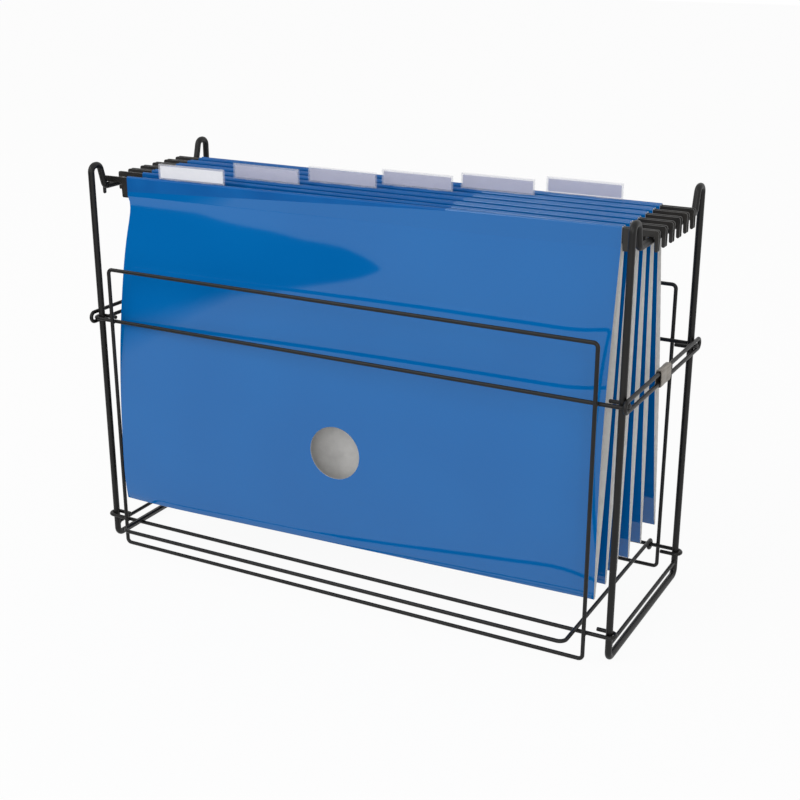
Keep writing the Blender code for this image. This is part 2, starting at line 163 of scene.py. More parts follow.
# %% [markdown]
# ### Black coated wire
# Drawn steel wire with a dipped black coating. The coating levels out into a satin skin with a faint
# orange peel, and it is a little thinner, so a little shinier, in patches.

# %% Black coated wire
black_wire, tree, shader = new_finish("black_dip_coated_wire")
spot = own_place(tree)
patches = noise(tree, spot, 14, 3.0)
peel = noise(tree, spot, 1.1, 2.0)
feed(tree, shader, {
    "Base Color": tones(tree, patches, (0.30, "#0B0A0A"), (0.75, "#171615")),
    "Roughness": between(tree, patches, 0.34, 0.50),
    "Normal": relief(tree, peel, 0.16, 0.2),
    "Specular IOR Level": 0.3,
})

# %% [markdown]
# ### Zinc-plated clip
# Pressed steel strip with a dull zinc plating: a warm grey metal with fine rolling lines along the wire.

# %% Zinc-plated clip
zinc, tree, shader = new_finish("zinc_plated_strip")
stretch = {"Vector": own_place(tree), "Scale": (1.0, 0.06, 1.0)}
lines = noise(tree, add(tree, "ShaderNodeMapping", stretch).outputs["Vector"], 0.7, 4.0)
feed(tree, shader, {
    "Base Color": tones(tree, lines, (0.30, "#77726B"), (0.70, "#A09A91")),
    "Roughness": between(tree, lines, 0.36, 0.58),
    "Normal": relief(tree, lines, 0.25, 0.1),
    "Metallic": 0.85,
})

# %% [markdown]
# ### Blue folder sheet
# Calendered polypropylene sheet, so glossy outside that it mirrors the pale floor as a light veil. It is
# never quite flat: slow waves a hand's breadth long bend its reflections. Along the top the sheet is folded
# over and heat-sealed into a sleeve. A wedge of that sleeve which runs out to the right is painted darker and
# duller, as painted shade where it shows no pale veil, so that wedge has a finish of its own.

# %% Blue folder sheet
blue_sheet, tree, shader = new_finish("blue_polypropylene_sheet")
spot = own_place(tree)
waves = noise(tree, spot, 90, 1.0)
grain = noise(tree, spot, 0.9, 2.0)
feed(tree, shader, {
    "Base Color": tones(tree, waves, (0.25, "#0162A9"), (0.75, "#0368B0")),
    "Roughness": between(tree, grain, 0.03, 0.07),
    "Normal": relief(tree, waves, 0.10, 4.0),
    "IOR": 1.49,
})

# %% Sleeve in painted shade
# The same sheet, matt and painted darker: painted shade where the sleeve shows no pale veil. It is dimpled
# every two millimetres.
painted_shade_sleeve, tree, shader = new_finish("painted_shade_sleeve_finish")
spot = own_place(tree)
waves = noise(tree, spot, 25, 2.0)
dimples = add(tree, "ShaderNodeTexVoronoi", {"Vector": spot, "Scale": per_mm(2)}).outputs["Distance"]
feed(tree, shader, {
    "Base Color": tones(tree, waves, (0.30, "#02579E"), (0.70, "#0460A8")),
    "Roughness": between(tree, waves, 0.28, 0.40),
    "Normal": relief(tree, dimples, 0.08, 0.2),
    "Specular IOR Level": 0.15,
})

# %% [markdown]
# ### Pale lining
# The inside of the sheet is a pale grey, mottled by its filler and without gloss.

# %% Pale lining
pale_lining, tree, shader = new_finish("pale_grey_lining")
mottle = noise(tree, own_place(tree), 5, 5.0)
feed(tree, shader, {
    "Base Color": tones(tree, mottle, (0.25, "#E0DFDD"), (0.75, "#EFEEEC")),
    "Normal": relief(tree, mottle, 0.12, 0.2),
    "Roughness": 0.62,
})

# %% [markdown]
# ### Black moulded hanger
# Injection-moulded ABS with a spark-eroded matt grain, greyer where hands and rails have rubbed it.

# %% Black moulded hanger
black_abs, tree, shader = new_finish("black_moulded_abs")
spot = own_place(tree)
rubbed = noise(tree, spot, 9, 4.0)
grain = noise(tree, spot, 0.5, 2.0)
feed(tree, shader, {
    "Base Color": tones(tree, rubbed, (0.35, "#121110"), (0.80, "#26231F")),
    "Normal": relief(tree, grain, 0.2, 0.1),
    "Roughness": 0.46,
})

# %% [markdown]
# ### Clear tab and paper label
# The tab is a strip of clear rigid film, so it lets its paper label show. The first label is white wove
# paper, and the others are a darker lilac copy of it, as painted shade on the tabs that stand behind: the
# same fibres, so one function makes both papers.

# %% Clear tab
clear_film, tree, shader = new_finish("clear_rigid_film")
haze = noise(tree, own_place(tree), 12, 2.0)
feed(tree, shader, {
    "Base Color": linear("#EDEEF4"),
    "Roughness": between(tree, haze, 0.10, 0.22),
    "Alpha": 0.18,
    "IOR": 1.52,
})

# %% Paper labels


def wove_paper(name, hollow, ridge):
    """Fibres a little under a millimetre apart, darker in their hollows than on their ridges."""
    made, tree, shader = new_finish(name)
    fibre = noise(tree, own_place(tree), 0.8, 4.0)
    feed(tree, shader, {
        "Base Color": tones(tree, fibre, (0.25, hollow), (0.75, ridge)),
        "Normal": relief(tree, fibre, 0.1, 0.1),
        "Roughness": 0.85,
    })
    return made


white_paper = wove_paper("white_wove_paper", "#E9EAF0", "#F6F6F8")
# The labels behind the first are darker and lilac: painted shade.
shaded_lilac_paper = wove_paper("shaded_lilac_wove_paper", "#BEBFDA", "#D2D3E8")

# %% [markdown]
# ## From arrays to pieces
# A piece is a set of points and faces worked out as whole arrays. This cell puts them into a mesh, lets the
# piece ride on its body and hides the solid it stands for.

# %% Piece helpers
SHARP = 38.0  # edges that turn by more degrees than this stay crisp
TINY = 1e-6  # allows for rounding where a place is compared with an edge


def add_piece(name, points, faces, looks, body, node, look_of_face=None):
    """Points in millimetres and lists of corner numbers become one smooth mesh that rides on its body.

    It hides the solid that node names, if any. With several looks, each face has the number of its own.
    """
    mesh = bpy.data.meshes.new(name)
    points = np.reshape(points, (-1, 3)) + (0.0, SHIFT, 0.0)
    mesh.from_pydata((points * MM).tolist(), [], faces)
    mesh.shade_smooth()
    mesh.set_sharp_from_angle(angle=float(np.radians(SHARP)))
    for look in looks:
        mesh.materials.append(look)
    if look_of_face is not None:
        mesh.polygons.foreach_set("material_index", np.asarray(look_of_face, np.int32))
    mesh.update()
    made = put_in_scene(name, mesh)
    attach(made, body)
    if node:
        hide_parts(node)
    print(f"{name}: {len(points)} points, {len(faces)} faces")
    return made


def grid_faces(rows, columns, wrap_rows=False, wrap_columns=False):
    """Quads of a grid whose corner (i, j) has the number i * columns + j.

    A wrapped side joins its last line to its first.
    """
    i = np.arange(rows if wrap_rows else rows - 1)[:, None]
    j = np.arange(columns if wrap_columns else columns - 1)[None, :]
    down = (i + 1) % rows
    along = (j + 1) % columns
    quads = np.stack([i * columns + j, i * columns + along, down * columns + along, down * columns + j], -1)
    return quads.reshape(-1, 4).tolist()


def unit(vectors):
    """Each vector divided by its own length."""
    return vectors / np.linalg.norm(vectors, axis=-1, keepdims=True)


def ramp(value, start, end):
    """0 before the start, 1 past the end, and in step with the value between them."""
    return np.clip((value - start) / (end - start), 0.0, 1.0)


# %% [markdown]
# ## Wire
# Real wire is bent on pins, so its line is straight runs joined by arcs. A circle is carried along that line.
# A curve object with a bevel would do as well, but arrays let the cut ends have their small rounded edge.

# %% Bent line and round wire
BEND_STEPS = 14
WIRE_SIDES = 20
NEARLY_STRAIGHT = 1.5  # half a corner's angle in radians, past which it needs no arc
SAME_PLACE = 1e-3  # points closer than this are one
CUT_EDGE = 0.35  # the rounding of a cut end, as a share of the wire's radius
FULL_AT = 1.5  # roundings from the cut to the first full ring
STEADY = np.array([1.0, 1.0, 1.0]) / np.sqrt(3.0)


def bent_line(corners, bends, closed=False):
    """Straight runs joined by arcs. An arc's centre is on its corner's bisector, bend / sin(half angle) away.

    Its points are weighted sums of its two end spokes: sin((1 - f) s) and sin(f s) over sin(s) for a sweep s.
    """
    corners = np.asarray(corners, float)
    bends = np.broadcast_to(bends, len(corners))
    share = np.linspace(0.0, 1.0, BEND_STEPS + 1)[:, None]
    line = []
    for k, (corner, bend) in enumerate(zip(corners, bends)):
        back = unit(corners[k - 1] - corner)
        ahead = unit(corners[(k + 1) % len(corners)] - corner)
        half = np.arccos(np.clip(back @ ahead, -1.0, 1.0)) / 2
        if (not closed and k in (0, len(corners) - 1)) or half > NEARLY_STRAIGHT:
            line.append(corner[None])
            continue
        centre = corner + unit(back + ahead) * bend / np.sin(half)
        first = corner + back * bend / np.tan(half) - centre
        last = corner + ahead * bend / np.tan(half) - centre
        sweep = np.pi - 2 * half
        arc = first * np.sin((1 - share) * sweep) + last * np.sin(share * sweep)
        line.append(centre + arc / np.sin(sweep))
    line = np.concatenate(line)
    apart = np.linalg.norm(np.diff(line, axis=0), axis=1) > SAME_PLACE
    return line[np.concatenate([[True], apart])]


def round_wire(line, radius, closed=False):
    """Ring point = centre + radius (cos a n + sin a b).

    n is the part of one steady direction that is square to the line, and b is square to both. A cut end has
    three smaller rings that round its edge, and a flat face.
    """
    step = unit(np.diff(np.concatenate([line, line[:1]]) if closed else line, axis=0))
    if closed:
        way = unit(step + np.roll(step, 1, axis=0))
    else:
        way = unit(np.concatenate([step[:1], step[1:] + step[:-1], step[-1:]]))
    reach = np.full(len(line), radius)
    if not closed:
        edge = CUT_EDGE * radius
        turn = np.radians([90.0, 60.0, 30.0])
        inset = edge * np.append(1 - np.sin(turn), FULL_AT)[:, None]
        small = radius - edge * np.append(1 - np.cos(turn), 0.0)
        line = np.concatenate([line[0] + way[0] * inset, line[1:-1], (line[-1] - way[-1] * inset)[::-1]])
        ends = [np.repeat(way[[k]], len(small), axis=0) for k in (0, -1)]
        way = np.concatenate([ends[0], way[1:-1], ends[1]])
        reach = np.concatenate([small, reach[1:-1], small[::-1]])
    n = unit(STEADY - (way @ STEADY)[:, None] * way)
    b = np.cross(way, n)
    a = np.linspace(0.0, 2 * np.pi, WIRE_SIDES, endpoint=False)[:, None]
    rings = line[:, None] + reach[:, None, None] * (np.cos(a) * n[:, None] + np.sin(a) * b[:, None])
    faces = grid_faces(len(line), WIRE_SIDES, wrap_rows=closed, wrap_columns=True)
    if not closed:
        last = (len(line) - 1) * WIRE_SIDES
        faces.append(list(range(WIRE_SIDES))[::-1])
        faces.append(list(range(last, last + WIRE_SIDES)))
    return rings, faces


def add_wire(name, line, radius, node, body="rack", closed=False):
    """One black wire that stands for its solid."""
    rings, faces = round_wire(line, radius, closed)
    add_piece(name, rings, faces, [black_wire], body, node)


# %% Sizes of the wire frame
HANDS = (("left", -1), ("right", 1))
PLACES = (("front", -1), ("rear", 1))
THICK, THIN = 2.3, 1.36  # radii of the two wires, which are also their heights on the floor
APART = 2.887  # between the middles of two thin wires side by side
SIDE_X, POST_Y, RAIL_Y = 200.0, 68.6, 55.0
TOP_Z, RAIL_Z = 287.0, 271.0
TURN = 4.6  # radius of the U-turn over an upright
HOOK = 4.0  # radius of a hairpin round an upright
CROSS_Y = POST_Y + HOOK
MID_Z, BOTTOM_Z, SIDE_BOTTOM_Z = 176.5, 19.5, 11.7
PANEL_X, PANEL_Y, PANEL_TOP = 185.0, CROSS_Y + APART, 215.6
LOOP_X, LOOP_END, LOOP_BEND = SIDE_X + HOOK, 75.7, 3.5
LOOP_LOW = MID_Z - APART
LOOP_TOP = LOOP_LOW + 2 * LOOP_BEND
print("rails are", 2 * SIDE_X, "mm apart and", RAIL_Z, "mm up")

# %% [markdown]
# ### Side frames
# Each side is one closed loop of the thick wire, bent in one flat plane. It runs along the floor, up, over in
# a tight U-turn and down again to the rail. The U-turns stop the hooks from sliding off the rail's ends.

# %% Side frames
FLOOR_BEND, RAIL_BEND = 5.0, 3.5
leg_y = POST_Y - 2 * TURN
for hand, s in HANDS:
    x = s * SIDE_X
    corners = [
        (x, 0.0, THICK), (x, POST_Y, THICK), (x, POST_Y, TOP_Z), (x, leg_y, TOP_Z), (x, RAIL_Y, RAIL_Z),
        (x, -RAIL_Y, RAIL_Z), (x, -leg_y, TOP_Z), (x, -POST_Y, TOP_Z), (x, -POST_Y, THICK),
    ]
    bends = [0.0, FLOOR_BEND, TURN, TURN, RAIL_BEND, RAIL_BEND, TURN, TURN, FLOOR_BEND]
    line = bent_line(corners, bends, closed=True)
    add_wire(f"wire_side_frame_{hand}", line, THICK, f"side_frame_{hand}", closed=True)

# %% [markdown]
# ### Cross wires and loops
# Thin wires tie the two sides together. Each end is a hairpin hooked round the outside of an upright.
# The front and rear loops stand on the floor outside them.

# %% Cross wires and loops
FREE_END = 10.0  # how far a hairpin's end comes back past the upright
PANEL_BEND = 3.0
tail, end = SIDE_X - FREE_END, SIDE_X + HOOK
for place, s in PLACES:
    near, far, y = s * (POST_Y - HOOK), s * CROSS_Y, s * PANEL_Y
    for height, z in (("mid", MID_Z), ("bottom", BOTTOM_Z)):
        corners = [
            (-tail, near, z), (-end, near, z), (-end, far, z), (end, far, z), (end, near, z), (tail, near, z),
        ]
        add_wire(f"wire_{place}_{height}", bent_line(corners, HOOK), THIN, f"{place}_{height}_wire")
    corners = [
        (0.0, y, THIN), (PANEL_X, y, THIN), (PANEL_X, y, PANEL_TOP), (-PANEL_X, y, PANEL_TOP),
        (-PANEL_X, y, THIN),
    ]
    line = bent_line(corners, PANEL_BEND, closed=True)
    add_wire(f"wire_{place}_loop", line, THIN, f"{place}_loop", closed=True)

# %% Side wires
SIDE_GAP = 0.2  # air between a side's bottom wire and its uprights, which a weld bead fills
SIDE_POINTS = 5
for hand, s in HANDS:
    x = s * LOOP_X
    corners = [
        (x, 0.0, LOOP_LOW), (x, LOOP_END, LOOP_LOW), (x, LOOP_END, LOOP_TOP), (x, -LOOP_END, LOOP_TOP),
        (x, -LOOP_END, LOOP_LOW),
    ]
    line = bent_line(corners, LOOP_BEND, closed=True)
    add_wire(f"wire_side_mid_loop_{hand}", line, THIN, f"side_mid_loop_{hand}", closed=True)
    x, end = s * SIDE_X, POST_Y - THICK - SIDE_GAP
    line = np.linspace((x, -end, SIDE_BOTTOM_Z), (x, end, SIDE_BOTTOM_Z), SIDE_POINTS)
    add_wire(f"wire_side_bottom_{hand}", line, THIN, f"side_bottom_wire_{hand}")

# %% [markdown]
# ### Base frame
# A U of thin wire lies on the front bottom wire and sticks out in front. Its two rear ends are wrapped three
# quarters of a turn round the rear bottom wire, so that it can be lifted like a flap.

# %% Base frame
BASE_X, BASE_SIDE, BASE_FRONT, BASE_BEND = 175.6, 3.9, -96.0, 5.0
WRAP, WRAP_STEPS = 2.9, 40
turn = np.radians(np.linspace(180.0, 450.0, WRAP_STEPS))
eye = np.stack([0 * turn, CROSS_Y + WRAP * np.cos(turn), BOTTOM_Z + WRAP * np.sin(turn)], -1)
base_z = BOTTOM_Z + WRAP
run = bent_line([
    (-BASE_X, CROSS_Y, base_z), (-BASE_X, BASE_FRONT, base_z), (BASE_X, BASE_FRONT, base_z),
    (BASE_X, CROSS_Y, base_z),
], BASE_BEND)
line = np.concatenate([eye[:-1] - (BASE_X, 0.0, 0.0), run, eye[-2::-1] + (BASE_X, 0.0, 0.0)])
add_wire("wire_base_frame", line + (BASE_SIDE, 0.0, 0.0), THIN, "base_frame", body="base_frame")

# %% [markdown]
# ### Weld beads
# Where two wires cross and are fixed, the welder leaves a small squashed bead between them. Without it the
# wires would only seem to float side by side.

# %% Weld beads
BEAD_ROWS, BEAD_COLUMNS = 9, 16
LOOP_BEAD, SIDE_BEAD = (1.75, 1.25, 1.75), (1.9, 0.9, 2.1)  # half sizes
LOOP_BEAD_Y = CROSS_Y + 1.44


def beads(spots, half):
    """Balls squashed to three half sizes: half * (cos t sin p, sin t sin p, cos p).

    The rows of quads leave a small hole at each pole, which a fan of triangles closes.
    """
    t = np.linspace(0.0, 2 * np.pi, BEAD_COLUMNS, endpoint=False)
    p = np.linspace(0.0, np.pi, BEAD_ROWS + 2)[1:-1, None]
    skin = np.stack([np.cos(t) * np.sin(p), np.sin(t) * np.sin(p), np.cos(p) + 0 * t], -1).reshape(-1, 3)
    ball = np.concatenate([skin, [[0, 0, 1], [0, 0, -1]]]) * half
    top, low = len(skin), len(skin) + 1
    j = np.arange(BEAD_COLUMNS)
    k = np.roll(j, -1)
    last = len(skin) - BEAD_COLUMNS
    faces = [face[::-1] for face in grid_faces(BEAD_ROWS, BEAD_COLUMNS, wrap_columns=True)]
    faces += [[top, a, b] for a, b in zip(j, k)]
    faces += [[low, b, a] for a, b in zip(j + last, k + last)]
    numbered = [[int(c) + n * len(ball) for c in face] for n in range(len(spots)) for face in faces]
    return np.concatenate([ball + spot for spot in spots]), numbered


for place, s in PLACES:
    spots = [(h * PANEL_X, s * LOOP_BEAD_Y, z) for h in (-1, 1) for z in (MID_Z, BOTTOM_Z)]
    points, faces = beads(spots, LOOP_BEAD)
    add_piece(f"weld_beads_{place}", points, faces, [black_wire], "rack", None)
for hand, s in HANDS:
    spots = [(s * SIDE_X, k * (POST_Y - THICK), SIDE_BOTTOM_Z) for k in (-1, 1)]
    points, faces = beads(spots, SIDE_BEAD)
    add_piece(f"weld_beads_side_{hand}", points, faces, [black_wire], "rack", None)

# %% [markdown]
# ### Side clips
# A strip of zinc-plated steel is folded round both runs of the side loop and pinched in the middle.

# %% Side clips
CLIP_SIDES, CLIP_ROWS = 64, 21
CLIP_Y, CLIP_LONG, CLIP_WALL, CLIP_SLACK = -3.0, 20.0, 0.8, 0.15
CLIP_POWER = 5  # of the rounded box that is its section
CLIP_LIP = 0.25  # how much of the wall is rounded off at each lip
CLIP_PINCH, CLIP_PINCH_LONG = 0.28, 2.6


def clip_skin(centre, half_x, half_z):
    """A closed skin: a rounded-box ring carried along outside, round the lip, back inside and round again.

    The ring is the signed cosine and sine, each to the power 2 over that of the box. The pinch narrows the
    outside by a bell curve along its length.
    """
    a = np.linspace(0.0, 2 * np.pi, CLIP_SIDES, endpoint=False)
    ring_x = np.sign(np.cos(a)) * np.abs(np.cos(a)) ** (2 / CLIP_POWER)
    ring_z = np.sign(np.sin(a)) * np.abs(np.sin(a)) ** (2 / CLIP_POWER)
    along = np.linspace(-CLIP_LONG / 2, CLIP_LONG / 2, CLIP_ROWS)
    y = np.concatenate([along, along[::-1]])
    grow = np.repeat([CLIP_WALL, 0.0], CLIP_ROWS)
    grow[[0, CLIP_ROWS - 1]] -= CLIP_LIP * CLIP_WALL
    grow[[CLIP_ROWS, -1]] += CLIP_LIP * CLIP_WALL
    pinch = CLIP_PINCH * np.exp(-((y / CLIP_PINCH_LONG) ** 2)) * (grow > CLIP_WALL / 2)
    x = (half_x + grow - pinch)[:, None] * ring_x
    z = (half_z + grow)[:, None] * ring_z
    return np.stack([x, y[:, None] + 0 * x, z], -1) + centre


for hand, s in HANDS:
    middle = (s * LOOP_X, CLIP_Y, (LOOP_LOW + LOOP_TOP) / 2)
    skin = clip_skin(middle, THIN + CLIP_SLACK, LOOP_BEND + THIN + CLIP_SLACK)
    faces = [face[::-1] for face in grid_faces(2 * CLIP_ROWS, CLIP_SIDES, wrap_rows=True, wrap_columns=True)]
    add_piece(f"clip_{hand}", skin, faces, [zinc], "rack", f"side_clip_{hand}")

# %% [markdown]
# ## Folders
# One sheet makes a folder: a flap, a sleeve over the hanger, the front leaf, a folded foot, the rear leaf and
# the second sleeve. Its folded line is drawn once, and every point of the sheet is a place along that line
# and a place across the width. The first folder's front leaf stands askew: its left end comes forward.

# %% Sizes of a folder
FOLDERS = 6
CARD, BAR = 0.5, 1.2  # thickness of the sheet and of a hanger
CARD_HALF, CARD_DROP = 182.6, 244.5  # half the sheet's width, and its height when folded
SPREAD, SLEEVE = 1.70, 1.15  # half the distance between the hangers, and a sleeve's radius over its hanger
CROWN, FOLDER_TOP, LEAF_TOP = 277.117, 278.517, 264.517
LEAF_FOOT, FOOT_Z, FOOT_HALF, CREASE = 35.267, 34.267, 1.2, 1.0
BOW = 2.4  # how far a leaf bows out at mid depth
FOLD = 0.15  # height of the crisp fold under the sleeve
SHADE_FROM, SHADE_END = 267.5, 65.0  # the lower edge of the band in painted shade at its left end, and where it runs out
SHADE_LEAST = 0.02  # the least share of its height, so that no face is flat
SKEW_TOP, SKEW_FOOT = 14.5, 24.8  # how far the left end comes forward, under the sleeve and at the foot
BELLY_LEFT, BELLY_RIGHT = 4.4, 10.0
FOOT_RISE, FOOT_SAG = 3.5, 2.0  # at the left end and at the right
CURL_FROM, CURL = 150.0, 6.0
LEFT_FROM, LOW_FROM = 0.85, 0.86  # shares of the width and the depth past which the left corner bends
CORNER_BACK = 2.5
PINCH_AT, PINCH = 0.045, 3.0  # how far down the left edge draws in most, and by how much
WAVE_LONG, WAVE_TURN = 57.0, 3.0
WAVE, CALM = 0.8, 0.12  # how far the first front leaf waves, and one that hangs close to its neighbour
CROWN_ROWS, LEAF_ROWS, CREASE_ROWS, SOLE_ROWS = 17, 61, 8, 4
row_y = np.linspace(-34.0, 38.0, FOLDERS)
lean_y = np.array([-17.0, -10.6, -4.2, 6.0, 17.0, 33.0])


def depth_of(z):
    """0 under the sleeve to 1 at the foot's crease."""
    return ramp(z, LEAF_TOP, LEAF_FOOT)


def half_line():
    """Half of the folded line as (out, height).

    It is the flap, a half circle over the hanger, the sleeve, a leaf bowed by a sine, a quarter circle at the
    crease and the foot. Two rows close together make the fold under the sleeve crisp.
    """
    up = np.array([LEAF_TOP, LEAF_TOP + FOLD, SHADE_FROM, (SHADE_FROM + CROWN) / 2, CROWN])
    a = np.linspace(0.0, np.pi, CROWN_ROWS)[1:-1]
    d = np.insert(np.linspace(0.0, 1.0, LEAF_ROWS), 1, FOLD / (LEAF_TOP - LEAF_FOOT))
    c = np.linspace(0.0, np.pi / 2, CREASE_ROWS)[1:]
    sole = np.linspace(FOOT_HALF - CREASE, 0.0, SOLE_ROWS)[1:]
    inner, outer = SPREAD - SLEEVE, SPREAD + SLEEVE
    leaf = outer + d * (FOOT_HALF - outer) + BOW * np.sin(np.pi * d)
    out = [np.full_like(up, inner), SPREAD - SLEEVE * np.cos(a), np.full_like(up[1:], outer), leaf]
    out += [FOOT_HALF - CREASE * (1 - np.cos(c)), sole]
    high = [up, CROWN + SLEEVE * np.sin(a), up[:0:-1], LEAF_TOP + d * (LEAF_FOOT - LEAF_TOP)]
    high += [LEAF_FOOT - CREASE * np.sin(c), np.full_like(sole, FOOT_Z)]
    return np.concatenate(out), np.concatenate(high)


def folded_line(lean):
    """The whole line front to rear as (y, z, distance along it), with the lean added in step with the depth.

    A card keeps its length, so its foot rises by the square of the lean over twice its height.
    """
    out, high = half_line()
    y = np.concatenate([-out, out[-2::-1]])
    z = np.concatenate([high, high[-2::-1]])
    y = y + lean * depth_of(z)
    z = z + lean**2 / (2 * CARD_DROP) * depth_of(z)
    along = np.concatenate([[0.0], np.cumsum(np.hypot(np.diff(y), np.diff(z)))])
    return y, z, along


print("folded line is", round(float(folded_line(0.0)[2][-1]), 1), "mm long, flat")

# %% [markdown]
# ### From a flat place to the hung sheet
# A cloth run could hang the sheet, but the real one is stiff and bends only a little. So its few bends are
# written down one by one: the lean, the waves, and for the first folder the skew, the belly and its edges.

# %% The hung sheet
BAND_SLACK = 0.05  # so that the band's lowest row counts as part of it


def shade_share(x):
    """How much of the painted-shade band's height is left: all of it at the left end, then less in step with
    x.
    """
    return np.maximum(ramp(x, SHADE_END, -CARD_HALF), SHADE_LEAST)


def sheet_place(x, v, line, skewed, wave):
    """Where the sheet is, for x across it and v along its line.

    The band in painted shade is drawn up to its share of the height. A leaf waves by a sine across it,
    fullest at mid depth. The skew slides the front half forward towards the left. The front half also bellies
    out by a sine of the depth, most at its right end, and the foot hangs askew. The left corner of the foot
    draws back, and the free edge on the right curls back, by squares of the way past their start. The left
    edge draws in just under the sleeve, by the depth times a falling exponential of it.
    """
    y = np.interp(v, line[2], line[0])
    z = np.interp(v, line[2], line[1])
    front = v < line[2][len(line[2]) // 2]
    band = (z > SHADE_FROM - BAND_SLACK) & (z < CROWN)
    z = np.where(band, CROWN - (CROWN - z) * shade_share(x), z)
    d = depth_of(z)
    belly = np.sin(np.pi * d)
    y = y + belly**2 * np.sin(x / WAVE_LONG + WAVE_TURN * d) * np.where(front, wave, -CALM)
    if skewed:
        share = (CARD_HALF - x) / (2 * CARD_HALF)
        left = ramp(share, LEFT_FROM, 1.0)
        corner = left * ramp(d, LOW_FROM, 1.0)
        curl = ramp(x, CURL_FROM, CARD_HALF)
        pinch = left * d / PINCH_AT * np.exp(1 - d / PINCH_AT)
        forward = share * (SKEW_TOP + (SKEW_FOOT - SKEW_TOP) * d)
        forward = forward + belly * (BELLY_RIGHT + (BELLY_LEFT - BELLY_RIGHT) * share)
        forward = forward - CORNER_BACK * corner**2 - CURL * curl**2 * belly
        x = x + np.where(front, PINCH * pinch, 0.0)
        y = y - np.where(front, forward, 0.0)
        z = z + (FOOT_RISE * share - FOOT_SAG * (1 - share)) * d
    return np.stack([x, y, z], -1)


# %% [markdown]
# ### A sheet with a round hole
# The sheet is a plain grid with a square of cells left out, and rings of quads lead from the square's rim to
# the circle. That gives clean faces without a Boolean. Both skins are the same grid moved out and in by half
# the sheet's thickness along its normal, and the rims are joined.

# %% Sheet with a hole
HOLE_X, HOLE_Z, HOLE_R = -4.9, FOOT_Z + 70.5, 19.0
BLOCK, BLOCK_CELLS, RINGS = 27.0, 12, 6
ROWS_ABOVE, ROWS_BELOW = 24, 8
KEPT_ROWS = 5  # the flap's edge and the leaf's first four rows, which stay where the folded line has them


def sheet_grid(line, columns):
    """Grid lines with the hole's square on them.

    Returns the lines across, the lines along, the square's first row along and the hole's middle.
    """
    leaf = np.flatnonzero(line[1][: len(line[1]) // 2] <= LEAF_TOP)[KEPT_ROWS:]
    leaf = leaf[line[1][leaf] >= LEAF_FOOT - TINY]
    v_top, v_foot = line[2][leaf[0]], line[2][leaf[-1]]
    hole_v = np.interp(-HOLE_Z, -line[1][leaf], line[2][leaf])
    square = np.linspace(-BLOCK, BLOCK, BLOCK_CELLS + 1)
    x_lines = np.concatenate([
        np.linspace(-CARD_HALF, HOLE_X - BLOCK, columns + 1)[:-1],
        HOLE_X + square,
        np.linspace(HOLE_X + BLOCK, CARD_HALF, columns + 1)[1:],
    ])
    v_lines = np.concatenate([
        line[2][: leaf[0]],
        np.linspace(v_top, hole_v - BLOCK, ROWS_ABOVE + 1)[:-1],
        hole_v + square,
        np.linspace(hole_v + BLOCK, v_foot, ROWS_BELOW + 1)[1:],
        line[2][leaf[-1] + 1 :],
    ])
    return x_lines, v_lines, leaf[0] + ROWS_ABOVE, hole_v


def rim_of(number):
    """The numbers round the edge of a grid, in order."""
    return np.concatenate([number[:-1, 0], number[-1, :-1], number[:0:-1, -1], number[0, :0:-1]])


def rim_quads(loop, count):
    """Quads that join the same loop on both skins: point, next point, and the same two on the other skin."""
    ahead = np.roll(loop, -1)
    return np.stack([loop, ahead, ahead + count, loop + count], -1)


def holed_sheet(line, columns):
    """Flat places (x, v) and quads of the sheet with its hole, and its two rims as rows of point numbers.

    Each ring is a share of the way from the square's rim to the circle.
    """
    x_lines, v_lines, first_v, hole_v = sheet_grid(line, columns)
    rows, cells = len(x_lines), len(v_lines)
    flat = np.stack(np.meshgrid(x_lines, v_lines, indexing="ij"), -1).reshape(-1, 2)
    number = np.arange(rows * cells).reshape(rows, cells)
    quads = np.stack([number[:-1, :-1], number[:-1, 1:], number[1:, 1:], number[1:, :-1]], -1)
    keep = np.ones(quads.shape[:2], bool)
    keep[columns : columns + BLOCK_CELLS, first_v : first_v + BLOCK_CELLS] = False
    block = number[columns : columns + BLOCK_CELLS + 1, first_v : first_v + BLOCK_CELLS + 1]
    rim = np.concatenate([block[0, :-1], block[:-1, -1], block[-1, :0:-1], block[:0:-1, 0]])
    spoke = flat[rim] - (HOLE_X, hole_v)
    share = (np.arange(1, RINGS + 1) / RINGS)[:, None, None]
    rings = (spoke + (unit(spoke) * HOLE_R - spoke) * share + (HOLE_X, hole_v)).reshape(-1, 2)
    ring_number = np.concatenate([rim[None], rows * cells + np.arange(RINGS * len(rim)).reshape(RINGS, -1)])
    beside = np.roll(ring_number, -1, axis=1)
    ring_quads = np.stack([ring_number[:-1], beside[:-1], beside[1:], ring_number[1:]], -1).reshape(-1, 4)
    flat = np.concatenate([flat, rings])
    quads = np.concatenate([quads[keep], ring_quads])
    used = np.unique(quads)
    renumber = np.zeros(len(flat), int)
    renumber[used] = np.arange(len(used))
    return flat[used], renumber[quads], renumber[rim_of(number)], renumber[ring_number[-1]]


# %% Folder sheets
FIRST_COLUMNS, COLUMNS = 22, 12
STEP_X, STEP_V = 0.5, 0.12  # the small steps across and along that give the normal
BLUE, PALE, SHADED_SLEEVE = 0, 1, 2


